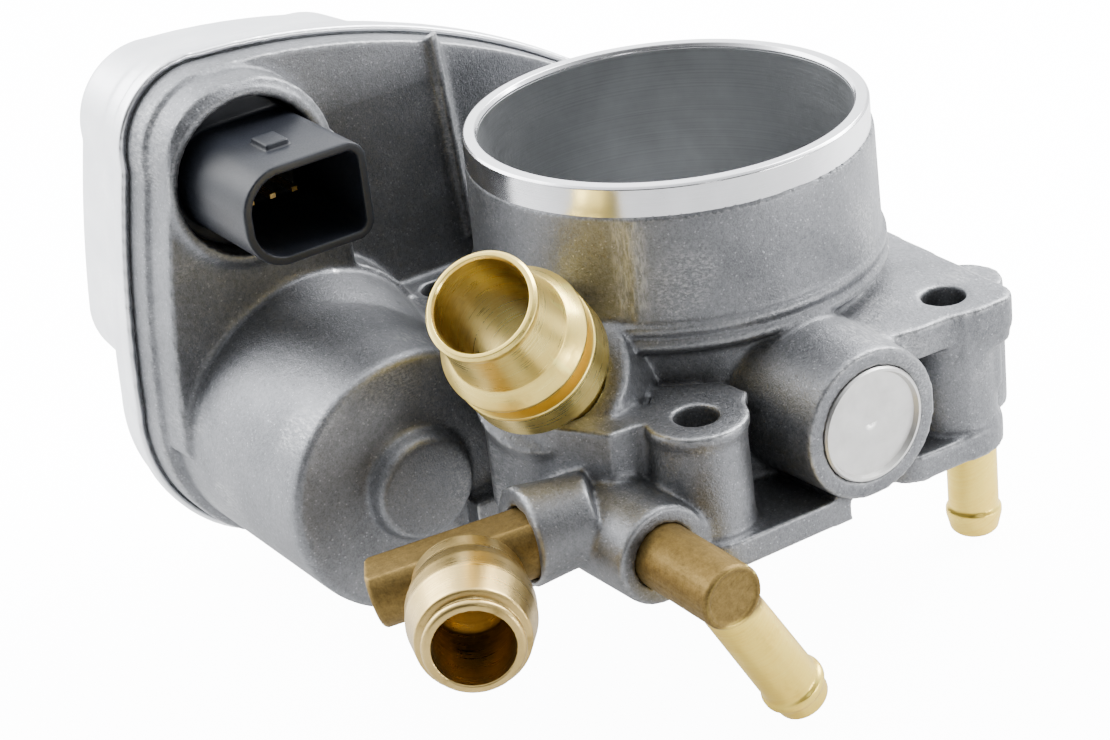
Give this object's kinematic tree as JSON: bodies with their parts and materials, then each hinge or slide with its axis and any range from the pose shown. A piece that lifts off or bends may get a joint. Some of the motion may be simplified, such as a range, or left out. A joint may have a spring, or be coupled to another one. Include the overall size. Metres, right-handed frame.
{
  "type": "electronic throttle body",
  "caption": "Electronic throttle body: cast bore with a motor-driven butterfly plate, gear housing, connector and brass hose ports.",
  "frame": {"origin": "on the throttle bore's axis at the manifold mounting face", "axes": "+Z along the bore to the air inlet, +X along the throttle shaft to its plugged end, -X to the gear cover, -Y to the motor and hose ports"},
  "size_m": [0.1318, 0.1182, 0.0922],
  "materials": {
    "cast_aluminium": "fine-grained die casting, satin where machined",
    "cover_sheet": "pale, softly brushed drawn sheet",
    "rubber": "matte black",
    "pin_metal": "plated contact metal",
    "black_plastic": "matte black moulding",
    "turned_brass": "bright turned brass",
    "tumbled_brass": "dull tumbled brass",
    "pale_brass": "pale turned brass",
    "steel": "ground steel",
    "plate_metal": "rolled sheet, satin",
    "plug_steel": "satin pressed steel",
    "gear_plastic": "natural moulded plastic",
    "board_laminate": "printed board, matte green",
    "can_steel": "plated sheet steel",
    "ferrite": "dark sintered ferrite",
    "copper": "enamelled copper",
    "carbon": "carbon brush, matte",
    "bronze": "sintered bronze",
    "pinion_brass": "machined brass"
  },
  "bodies": {
    "housing": {"housing": "cast_aluminium", "gear_cover": "cover_sheet", "cover_gasket": "rubber", "connector_pins": "pin_metal", "connector_shell": "black_plastic", "connector_seal": "rubber", "large_port": "turned_brass", "coolant_tee": "tumbled_brass", "coolant_elbow": "pale_brass", "vacuum_nipple": "pale_brass", "bearing_outer": "steel", "bearing_balls": "steel", "needle_cup": "steel", "needle_rollers": "steel", "shaft_seals": "rubber", "shaft_plug": "plug_steel", "idler_pin": "steel", "stop_pin": "steel", "return_spring": "steel", "sensor_board": "board_laminate", "motor_can": "can_steel", "motor_magnets": "ferrite", "motor_brushes": "carbon", "brush_holder": "black_plastic", "motor_terminals": "pin_metal", "motor_end_plate": "black_plastic", "end_plate_screws": "steel", "motor_bushes": "bronze"},
    "throttle": {"throttle_shaft": "steel", "throttle_plate": "plate_metal", "plate_screws": "steel", "bearing_inner": "steel", "sector_gear": "gear_plastic", "sensor_wiper": "pin_metal"},
    "intermediate": {"idler_gear": "gear_plastic"},
    "rotor": {"motor_shaft": "steel", "motor_pinion": "pinion_brass", "motor_armature": "can_steel", "motor_windings": "copper", "commutator": "copper"}
  },
  "joints": [
    {"name": "throttle_turn", "type": "hinge", "parent": "housing", "child": "throttle", "pos_m": [0, 0, 0.016], "axis": [1, 0, 0], "range_deg": [0, 82], "stiffness_Nm_per_rad": 0.03, "springref_deg": -28.65},
    {"name": "intermediate_turn", "type": "hinge", "parent": "housing", "child": "intermediate", "pos_m": [0, -0.03295, 0.01779], "axis": [1, 0, 0], "range_deg": [-336, 0]},
    {"name": "motor_turn", "type": "hinge", "parent": "housing", "child": "rotor", "pos_m": [0, -0.0525, 0.00685], "axis": [1, 0, 0], "range_deg": [0, 1230]}
  ],
  "couplings": [
    {"joint": "intermediate_turn", "follows": "throttle_turn", "ratio": -4.0769},
    {"joint": "motor_turn", "follows": "throttle_turn", "ratio": 14.949}
  ]
}
